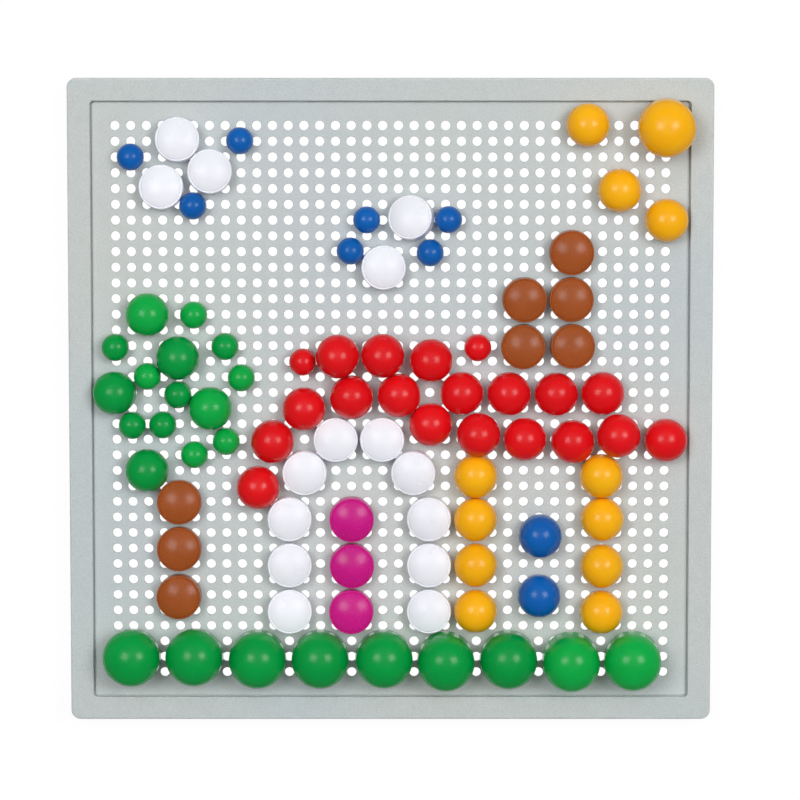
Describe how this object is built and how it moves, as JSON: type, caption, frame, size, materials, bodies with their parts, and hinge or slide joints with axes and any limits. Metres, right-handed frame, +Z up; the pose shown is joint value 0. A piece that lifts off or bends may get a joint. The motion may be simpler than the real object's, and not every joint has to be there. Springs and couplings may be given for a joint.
{
  "type": "peg mosaic board",
  "caption": "Square perforated peg board with a raised rim, holding round-headed pegs that make a picture of a house, a tree, clouds and the sun.",
  "frame": {"origin": "centre of the board's footprint, on the plane that its skirt stands on", "axes": "+Z up out of the perforated face, +Y towards the top of the picture, +X towards its right"},
  "size_m": [0.205, 0.205, 0.0272],
  "materials": {
    "board_plastic": "matte, finely grained",
    "red_plastic": "gloss",
    "green_plastic": "gloss",
    "yellow_plastic": "gloss",
    "blue_plastic": "gloss",
    "brown_plastic": "satin",
    "magenta_plastic": "satin",
    "white_plastic": "satin"
  },
  "bodies": {
    "board": {"board": "board_plastic"},
    "roof_peg_01": {"roof_peg_01": "red_plastic"},
    "roof_peg_02": {"roof_peg_02": "red_plastic"},
    "roof_peg_03": {"roof_peg_03": "red_plastic"},
    "roof_peg_04": {"roof_peg_04": "red_plastic"},
    "roof_peg_05": {"roof_peg_05": "red_plastic"},
    "roof_peg_06": {"roof_peg_06": "red_plastic"},
    "roof_peg_07": {"roof_peg_07": "red_plastic"},
    "roof_peg_08": {"roof_peg_08": "red_plastic"},
    "roof_peg_09": {"roof_peg_09": "red_plastic"},
    "roof_peg_10": {"roof_peg_10": "red_plastic"},
    "roof_peg_11": {"roof_peg_11": "red_plastic"},
    "roof_peg_12": {"roof_peg_12": "red_plastic"},
    "ridge_peg_01": {"ridge_peg_01": "red_plastic"},
    "chimney_peg_01": {"chimney_peg_01": "brown_plastic"},
    "chimney_peg_02": {"chimney_peg_02": "brown_plastic"},
    "chimney_peg_03": {"chimney_peg_03": "brown_plastic"},
    "chimney_peg_04": {"chimney_peg_04": "brown_plastic"},
    "chimney_peg_05": {"chimney_peg_05": "brown_plastic"},
    "arch_peg_01": {"arch_peg_01": "white_plastic"},
    "arch_peg_02": {"arch_peg_02": "white_plastic"},
    "arch_peg_03": {"arch_peg_03": "white_plastic"},
    "arch_peg_04": {"arch_peg_04": "white_plastic"},
    "arch_peg_05": {"arch_peg_05": "white_plastic"},
    "arch_peg_06": {"arch_peg_06": "white_plastic"},
    "arch_peg_07": {"arch_peg_07": "white_plastic"},
    "arch_peg_08": {"arch_peg_08": "white_plastic"},
    "arch_peg_09": {"arch_peg_09": "white_plastic"},
    "arch_peg_10": {"arch_peg_10": "white_plastic"},
    "door_peg_01": {"door_peg_01": "magenta_plastic"},
    "door_peg_02": {"door_peg_02": "magenta_plastic"},
    "door_peg_03": {"door_peg_03": "magenta_plastic"},
    "pillar_peg_01": {"pillar_peg_01": "yellow_plastic"},
    "pillar_peg_02": {"pillar_peg_02": "yellow_plastic"},
    "pillar_peg_03": {"pillar_peg_03": "yellow_plastic"},
    "pillar_peg_04": {"pillar_peg_04": "yellow_plastic"},
    "pillar_peg_05": {"pillar_peg_05": "yellow_plastic"},
    "pillar_peg_06": {"pillar_peg_06": "yellow_plastic"},
    "window_peg_01": {"window_peg_01": "blue_plastic"},
    "window_peg_02": {"window_peg_02": "blue_plastic"},
    "sun_peg_01": {"sun_peg_01": "yellow_plastic"},
    "sun_ray_peg_01": {"sun_ray_peg_01": "yellow_plastic"},
    "sun_ray_peg_02": {"sun_ray_peg_02": "yellow_plastic"},
    "sun_ray_peg_03": {"sun_ray_peg_03": "yellow_plastic"},
    "crown_peg_01": {"crown_peg_01": "green_plastic"},
    "crown_peg_02": {"crown_peg_02": "green_plastic"},
    "crown_edge_peg_01": {"crown_edge_peg_01": "green_plastic"},
    "crown_edge_peg_02": {"crown_edge_peg_02": "green_plastic"},
    "trunk_peg_01": {"trunk_peg_01": "brown_plastic"},
    "trunk_peg_02": {"trunk_peg_02": "brown_plastic"},
    "trunk_peg_03": {"trunk_peg_03": "brown_plastic"},
    "ground_peg_01": {"ground_peg_01": "green_plastic"},
    "ground_peg_02": {"ground_peg_02": "green_plastic"},
    "ground_peg_03": {"ground_peg_03": "green_plastic"},
    "ground_peg_04": {"ground_peg_04": "green_plastic"},
    "ground_peg_05": {"ground_peg_05": "green_plastic"},
    "ground_peg_06": {"ground_peg_06": "green_plastic"},
    "ground_peg_07": {"ground_peg_07": "green_plastic"},
    "ground_peg_08": {"ground_peg_08": "green_plastic"},
    "ground_peg_09": {"ground_peg_09": "green_plastic"}
  },
  "joints": [
    {"name": "roof_peg_01_pull", "type": "slide", "parent": "board", "child": "roof_peg_01", "axis": [0.0694, 0.1043, 0.9921], "range_m": [0, 0.012]},
    {"name": "roof_peg_02_pull", "type": "slide", "parent": "board", "child": "roof_peg_02", "axis": [-0.0175, 0.0175, 0.9997], "range_m": [0, 0.012]},
    {"name": "roof_peg_03_pull", "type": "slide", "parent": "board", "child": "roof_peg_03", "axis": [0.0349, 0.0087, 0.9994], "range_m": [0, 0.012]},
    {"name": "roof_peg_04_pull", "type": "slide", "parent": "board", "child": "roof_peg_04", "axis": [0.0349, -0.0174, 0.9992], "range_m": [0, 0.012]},
    {"name": "roof_peg_05_pull", "type": "slide", "parent": "board", "child": "roof_peg_05", "axis": [0.0349, -0.0436, 0.9984], "range_m": [0, 0.012]},
    {"name": "roof_peg_06_pull", "type": "slide", "parent": "board", "child": "roof_peg_06", "axis": [0, 0, 1], "range_m": [0, 0.012]},
    {"name": "roof_peg_07_pull", "type": "slide", "parent": "board", "child": "roof_peg_07", "axis": [-0.0174, -0.0697, 0.9974], "range_m": [0, 0.012]},
    {"name": "roof_peg_08_pull", "type": "slide", "parent": "board", "child": "roof_peg_08", "axis": [0.0523, 0.0261, 0.9983], "range_m": [0, 0.012]},
    {"name": "roof_peg_09_pull", "type": "slide", "parent": "board", "child": "roof_peg_09", "axis": [0.0348, 0.0871, 0.9956], "range_m": [0, 0.012]},
    {"name": "roof_peg_10_pull", "type": "slide", "parent": "board", "child": "roof_peg_10", "axis": [0.1043, -0.0694, 0.9921], "range_m": [0, 0.012]},
    {"name": "roof_peg_11_pull", "type": "slide", "parent": "board", "child": "roof_peg_11", "axis": [0.0175, 0.0175, 0.9997], "range_m": [0, 0.012]},
    {"name": "roof_peg_12_pull", "type": "slide", "parent": "board", "child": "roof_peg_12", "axis": [0.0523, -0.0174, 0.9985], "range_m": [0, 0.012]},
    {"name": "ridge_peg_01_pull", "type": "slide", "parent": "board", "child": "ridge_peg_01", "axis": [0.052, -0.1044, 0.9932], "range_m": [0, 0.012]},
    {"name": "chimney_peg_01_pull", "type": "slide", "parent": "board", "child": "chimney_peg_01", "axis": [0, -0.0523, 0.9986], "range_m": [0, 0.012]},
    {"name": "chimney_peg_02_pull", "type": "slide", "parent": "board", "child": "chimney_peg_02", "axis": [0.0174, -0.0523, 0.9985], "range_m": [0, 0.012]},
    {"name": "chimney_peg_03_pull", "type": "slide", "parent": "board", "child": "chimney_peg_03", "axis": [-0.0174, -0.0262, 0.9995], "range_m": [0, 0.012]},
    {"name": "chimney_peg_04_pull", "type": "slide", "parent": "board", "child": "chimney_peg_04", "axis": [-0.0697, -0.0174, 0.9974], "range_m": [0, 0.012]},
    {"name": "chimney_peg_05_pull", "type": "slide", "parent": "board", "child": "chimney_peg_05", "axis": [0.0698, 0.0087, 0.9975], "range_m": [0, 0.012]},
    {"name": "arch_peg_01_pull", "type": "slide", "parent": "board", "child": "arch_peg_01", "axis": [0, 0.0436, 0.999], "range_m": [0, 0.012]},
    {"name": "arch_peg_02_pull", "type": "slide", "parent": "board", "child": "arch_peg_02", "axis": [-0.0349, 0.0523, 0.998], "range_m": [0, 0.012]},
    {"name": "arch_peg_03_pull", "type": "slide", "parent": "board", "child": "arch_peg_03", "axis": [0.0174, -0.0697, 0.9974], "range_m": [0, 0.012]},
    {"name": "arch_peg_04_pull", "type": "slide", "parent": "board", "child": "arch_peg_04", "axis": [-0.0522, -0.0697, 0.9962], "range_m": [0, 0.012]},
    {"name": "arch_peg_05_pull", "type": "slide", "parent": "board", "child": "arch_peg_05", "axis": [0.0523, -0.0261, 0.9983], "range_m": [0, 0.012]},
    {"name": "arch_peg_06_pull", "type": "slide", "parent": "board", "child": "arch_peg_06", "axis": [-0.0523, -0.0261, 0.9983], "range_m": [0, 0.012]},
    {"name": "arch_peg_07_pull", "type": "slide", "parent": "board", "child": "arch_peg_07", "axis": [0.0523, 0.0087, 0.9986], "range_m": [0, 0.012]},
    {"name": "arch_peg_08_pull", "type": "slide", "parent": "board", "child": "arch_peg_08", "axis": [-0.0523, 0.0087, 0.9986], "range_m": [0, 0.012]},
    {"name": "arch_peg_09_pull", "type": "slide", "parent": "board", "child": "arch_peg_09", "axis": [0.0523, 0.0349, 0.998], "range_m": [0, 0.012]},
    {"name": "arch_peg_10_pull", "type": "slide", "parent": "board", "child": "arch_peg_10", "axis": [-0.0523, 0.0436, 0.9977], "range_m": [0, 0.012]},
    {"name": "door_peg_01_pull", "type": "slide", "parent": "board", "child": "door_peg_01", "axis": [0.0174, -0.0697, 0.9974], "range_m": [0, 0.012]},
    {"name": "door_peg_02_pull", "type": "slide", "parent": "board", "child": "door_peg_02", "axis": [0.0349, -0.0436, 0.9984], "range_m": [0, 0.012]},
    {"name": "door_peg_03_pull", "type": "slide", "parent": "board", "child": "door_peg_03", "axis": [-0.0175, 0, 0.9998], "range_m": [0, 0.012]},
    {"name": "pillar_peg_01_pull", "type": "slide", "parent": "board", "child": "pillar_peg_01", "axis": [-0.087, -0.0521, 0.9948], "range_m": [0, 0.012]},
    {"name": "pillar_peg_02_pull", "type": "slide", "parent": "board", "child": "pillar_peg_02", "axis": [-0.0697, 0.0174, 0.9974], "range_m": [0, 0.012]},
    {"name": "pillar_peg_03_pull", "type": "slide", "parent": "board", "child": "pillar_peg_03", "axis": [-0.0697, 0.0522, 0.9962], "range_m": [0, 0.012]},
    {"name": "pillar_peg_04_pull", "type": "slide", "parent": "board", "child": "pillar_peg_04", "axis": [0, -0.0349, 0.9994], "range_m": [0, 0.012]},
    {"name": "pillar_peg_05_pull", "type": "slide", "parent": "board", "child": "pillar_peg_05", "axis": [-0.0174, -0.0523, 0.9985], "range_m": [0, 0.012]},
    {"name": "pillar_peg_06_pull", "type": "slide", "parent": "board", "child": "pillar_peg_06", "axis": [-0.0349, -0.0174, 0.9992], "range_m": [0, 0.012]},
    {"name": "window_peg_01_pull", "type": "slide", "parent": "board", "child": "window_peg_01", "axis": [0.0519, -0.1217, 0.9912], "range_m": [0, 0.012]},
    {"name": "window_peg_02_pull", "type": "slide", "parent": "board", "child": "window_peg_02", "axis": [-0.0175, 0.0175, 0.9997], "range_m": [0, 0.012]},
    {"name": "sun_peg_01_pull", "type": "slide", "parent": "board", "child": "sun_peg_01", "axis": [-0.052, -0.1044, 0.9932], "range_m": [0, 0.012]},
    {"name": "sun_ray_peg_01_pull", "type": "slide", "parent": "board", "child": "sun_ray_peg_01", "axis": [-0.0175, 0.0175, 0.9997], "range_m": [0, 0.012]},
    {"name": "sun_ray_peg_02_pull", "type": "slide", "parent": "board", "child": "sun_ray_peg_02", "axis": [0, -0.1045, 0.9945], "range_m": [0, 0.012]},
    {"name": "sun_ray_peg_03_pull", "type": "slide", "parent": "board", "child": "sun_ray_peg_03", "axis": [0, 0, 1], "range_m": [0, 0.012]},
    {"name": "crown_peg_01_pull", "type": "slide", "parent": "board", "child": "crown_peg_01", "axis": [0.0523, 0.0174, 0.9985], "range_m": [0, 0.012]},
    {"name": "crown_peg_02_pull", "type": "slide", "parent": "board", "child": "crown_peg_02", "axis": [-0.0174, 0.0871, 0.996], "range_m": [0, 0.012]},
    {"name": "crown_edge_peg_01_pull", "type": "slide", "parent": "board", "child": "crown_edge_peg_01", "axis": [-0.0175, -0.0175, 0.9997], "range_m": [0, 0.012]},
    {"name": "crown_edge_peg_02_pull", "type": "slide", "parent": "board", "child": "crown_edge_peg_02", "axis": [-0.0349, -0.0174, 0.9992], "range_m": [0, 0.012]},
    {"name": "trunk_peg_01_pull", "type": "slide", "parent": "board", "child": "trunk_peg_01", "axis": [0.0174, 0.0523, 0.9985], "range_m": [0, 0.012]},
    {"name": "trunk_peg_02_pull", "type": "slide", "parent": "board", "child": "trunk_peg_02", "axis": [0, 0.0523, 0.9986], "range_m": [0, 0.012]},
    {"name": "trunk_peg_03_pull", "type": "slide", "parent": "board", "child": "trunk_peg_03", "axis": [-0.0349, -0.0349, 0.9988], "range_m": [0, 0.012]},
    {"name": "ground_peg_01_pull", "type": "slide", "parent": "board", "child": "ground_peg_01", "axis": [-0.0174, 0.0871, 0.996], "range_m": [0, 0.012]},
    {"name": "ground_peg_02_pull", "type": "slide", "parent": "board", "child": "ground_peg_02", "axis": [-0.0174, 0.1045, 0.9944], "range_m": [0, 0.012]},
    {"name": "ground_peg_03_pull", "type": "slide", "parent": "board", "child": "ground_peg_03", "axis": [0, 0, 1], "range_m": [0, 0.012]},
    {"name": "ground_peg_04_pull", "type": "slide", "parent": "board", "child": "ground_peg_04", "axis": [0, 0, 1], "range_m": [0, 0.012]},
    {"name": "ground_peg_05_pull", "type": "slide", "parent": "board", "child": "ground_peg_05", "axis": [0.0523, 0.0174, 0.9985], "range_m": [0, 0.012]},
    {"name": "ground_peg_06_pull", "type": "slide", "parent": "board", "child": "ground_peg_06", "axis": [0.0174, -0.0871, 0.996], "range_m": [0, 0.012]},
    {"name": "ground_peg_07_pull", "type": "slide", "parent": "board", "child": "ground_peg_07", "axis": [0.0175, -0.0175, 0.9997], "range_m": [0, 0.012]},
    {"name": "ground_peg_08_pull", "type": "slide", "parent": "board", "child": "ground_peg_08", "axis": [0.0174, -0.1045, 0.9944], "range_m": [0, 0.012]},
    {"name": "ground_peg_09_pull", "type": "slide", "parent": "board", "child": "ground_peg_09", "axis": [-0.0348, -0.0697, 0.997], "range_m": [0, 0.012]}
  ]
}
